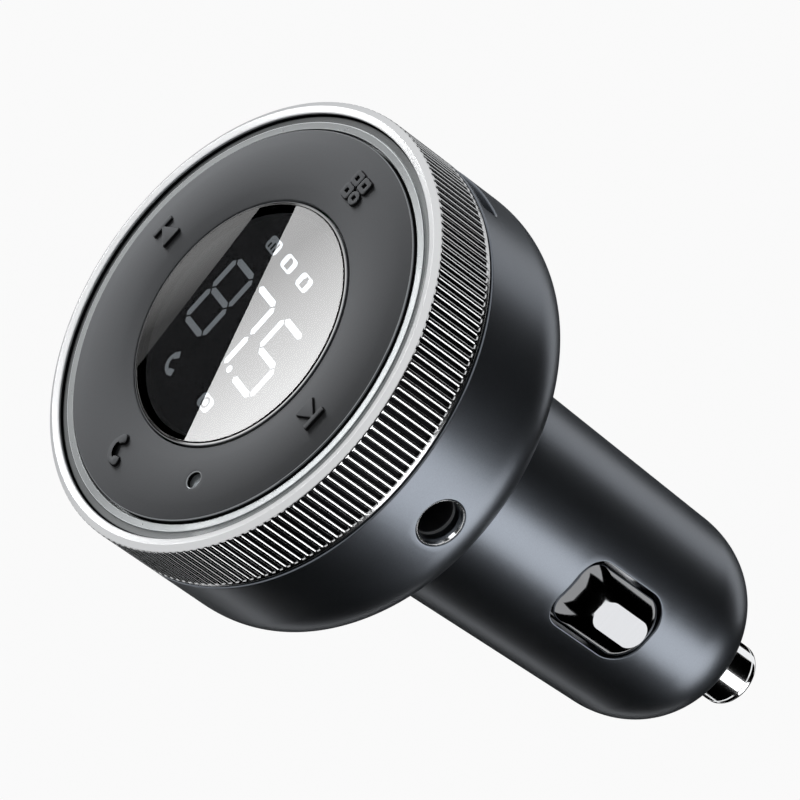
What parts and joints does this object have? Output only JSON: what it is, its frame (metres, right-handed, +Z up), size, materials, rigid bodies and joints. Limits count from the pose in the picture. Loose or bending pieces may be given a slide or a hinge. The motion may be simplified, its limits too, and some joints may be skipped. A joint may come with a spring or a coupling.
{
  "type": "car fm transmitter",
  "caption": "Car FM transmitter: round head with display window, rocking key plate and knurled volume ring on a 12 V plug with sprung side contacts and tip.",
  "frame": {"origin": "on the plug's axis where the barrel leaves the back of the head", "axes": "+Y runs along the plug's axis to the centre tip, the display faces -Y, +Z is up on the display, +X is right as seen from the front"},
  "size_m": [0.0412, 0.0688, 0.0412],
  "materials": {
    "shell_metal": "satin metallic gunmetal",
    "chrome": "polished",
    "dark_chrome": "polished black nickel",
    "face_plastic": "matte, fine grain",
    "frame_plastic": "moulded",
    "white_plastic": "moulded",
    "pale_cover": "matte",
    "light_plastic": "translucent",
    "lit_plastic": "lit",
    "window_glass": "dark, glossy",
    "black_film": "matte",
    "rubber": "matte",
    "magnet": "dark",
    "board_green": "solder mask",
    "chip_black": "moulded",
    "board_blue": "solder mask",
    "ferrite": "ferrite",
    "can": "printed sleeve",
    "steel": "bright",
    "gold": "plated"
  },
  "bodies": {
    "housing": {"head_shell": "shell_metal", "front_frame": "frame_plastic", "glide_washer": "white_plastic", "light_ring": "light_plastic", "key_switches": "steel", "mic_capsule": "steel", "ring_leds": "lit_plastic", "window_bezel": "chrome", "display_window": "window_glass", "display_module": "white_plastic", "display_mask": "black_film", "digit_segments": "lit_plastic", "badge_lights": "lit_plastic", "display_board": "board_green", "ring_sensor": "chip_black", "board_header": "frame_plastic", "board_spacers": "gold", "board_screws": "steel", "main_board": "board_green", "radio_chip": "chip_black", "wireless_module": "board_blue", "card_socket": "steel", "aux_jack": "frame_plastic", "aux_rim": "chrome", "aux_contacts": "gold", "usb_shell_left": "steel", "usb_core_left": "white_plastic", "usb_shell_lower": "steel", "usb_core_lower": "white_plastic", "usb_contacts": "gold", "barrel_shell": "shell_metal", "barrel_screws": "steel", "power_board": "board_green", "power_inductor": "ferrite", "input_capacitor": "can", "output_capacitor": "can", "converter_chip": "chip_black", "plug_frame": "frame_plastic", "tip_lead": "gold", "contact_spring_right": "steel", "contact_spring_left": "steel", "tip_spring": "steel"},
    "ring": {"volume_ring": "chrome", "ring_magnet": "magnet"},
    "pad": {"key_pad": "rubber"},
    "keys": {"key_plate": "face_plastic", "mic_cover": "pale_cover"},
    "right_contact": {"contact_right": "dark_chrome"},
    "left_contact": {"contact_left": "dark_chrome"},
    "tip": {"tip_pin": "chrome"}
  },
  "joints": [
    {"name": "volume_turn", "type": "hinge", "parent": "housing", "child": "ring", "pos_m": [0, -0.01737, 0], "axis": [0, 1, 0], "continuous": true},
    {"name": "key_tilt_updown", "type": "hinge", "parent": "housing", "child": "pad", "pos_m": [0, -0.0191, 0], "axis": [1, 0, 0], "range_deg": [-1, 1], "stiffness_Nm_per_rad": 2},
    {"name": "key_tilt_leftright", "type": "hinge", "parent": "pad", "child": "keys", "pos_m": [0, -0.0191, 0], "axis": [0, 0, 1], "range_deg": [-1, 1], "stiffness_Nm_per_rad": 2},
    {"name": "right_contact_press", "type": "slide", "parent": "housing", "child": "right_contact", "axis": [-1, 0, 0], "range_m": [0, 0.0013], "stiffness_N_per_m": 2500, "springref_m": -0.0008, "deforming": ["contact_spring_right"]},
    {"name": "left_contact_press", "type": "slide", "parent": "housing", "child": "left_contact", "axis": [1, 0, 0], "range_m": [0, 0.0013], "stiffness_N_per_m": 2500, "springref_m": -0.0008, "deforming": ["contact_spring_left"]},
    {"name": "tip_press", "type": "slide", "parent": "housing", "child": "tip", "axis": [0, -1, 0], "range_m": [0, 0.0035], "stiffness_N_per_m": 1500, "springref_m": -0.002, "deforming": ["tip_spring"]}
  ]
}
